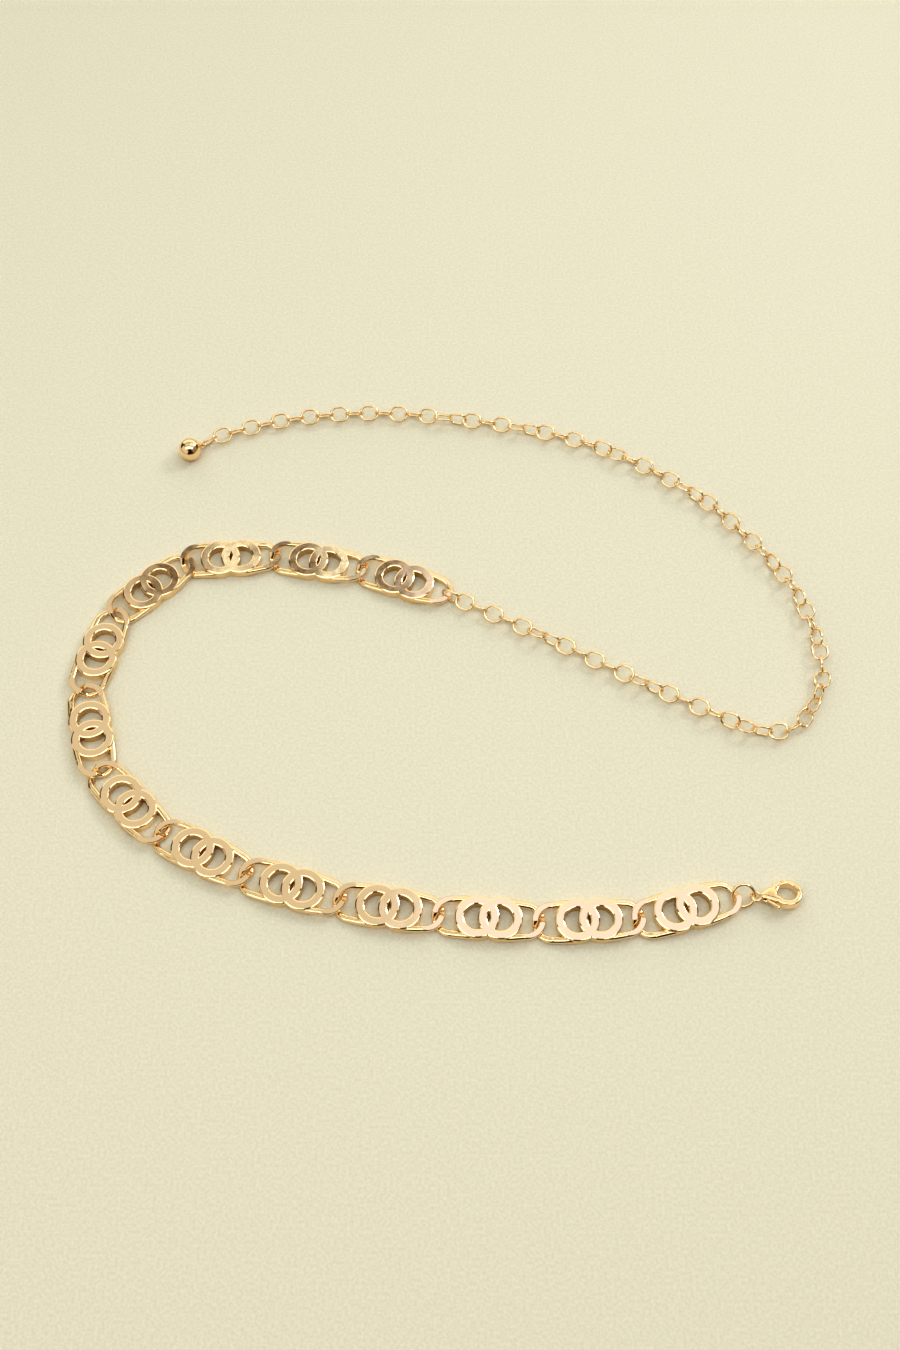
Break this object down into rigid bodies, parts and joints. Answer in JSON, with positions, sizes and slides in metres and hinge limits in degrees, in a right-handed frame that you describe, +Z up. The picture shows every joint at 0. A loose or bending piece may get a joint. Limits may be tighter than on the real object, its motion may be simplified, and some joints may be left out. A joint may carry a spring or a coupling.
{
  "type": "waist chain",
  "caption": "Metal waist chain of hooked double-ring links with a lobster clasp at one end and a thin oval-link extender ending in a ball.",
  "frame": {"origin": "centre of the underside of the whole chain's bounding box, on the surface that it lies on", "axes": "+X along the front row of big links towards the clasp, +Y away from the viewer, +Z up from the surface"},
  "size_m": [0.3124, 0.2525, 0.01],
  "materials": {
    "metal": "polished, thin light rose-gold plating"
  },
  "bodies": {
    "chain": {"decor_link_01": "metal", "decor_link_02": "metal", "decor_link_03": "metal", "decor_link_04": "metal", "decor_link_05": "metal", "decor_link_06": "metal", "decor_link_07": "metal", "decor_link_08": "metal", "decor_link_09": "metal", "decor_link_10": "metal", "decor_link_11": "metal", "decor_link_12": "metal", "decor_link_13": "metal", "jump_ring": "metal", "clasp_body": "metal", "tail_chain": "metal", "end_ball": "metal"},
    "clasp_lever": {"clasp_lever": "metal"}
  },
  "joints": [
    {"name": "clasp_lever_hinge", "type": "hinge", "parent": "chain", "child": "clasp_lever", "pos_m": [0.12207, -0.10734, 0.00283], "axis": [0, -0.225, -0.9744], "range_deg": [0, 30], "stiffness_Nm_per_rad": 0.005}
  ]
}
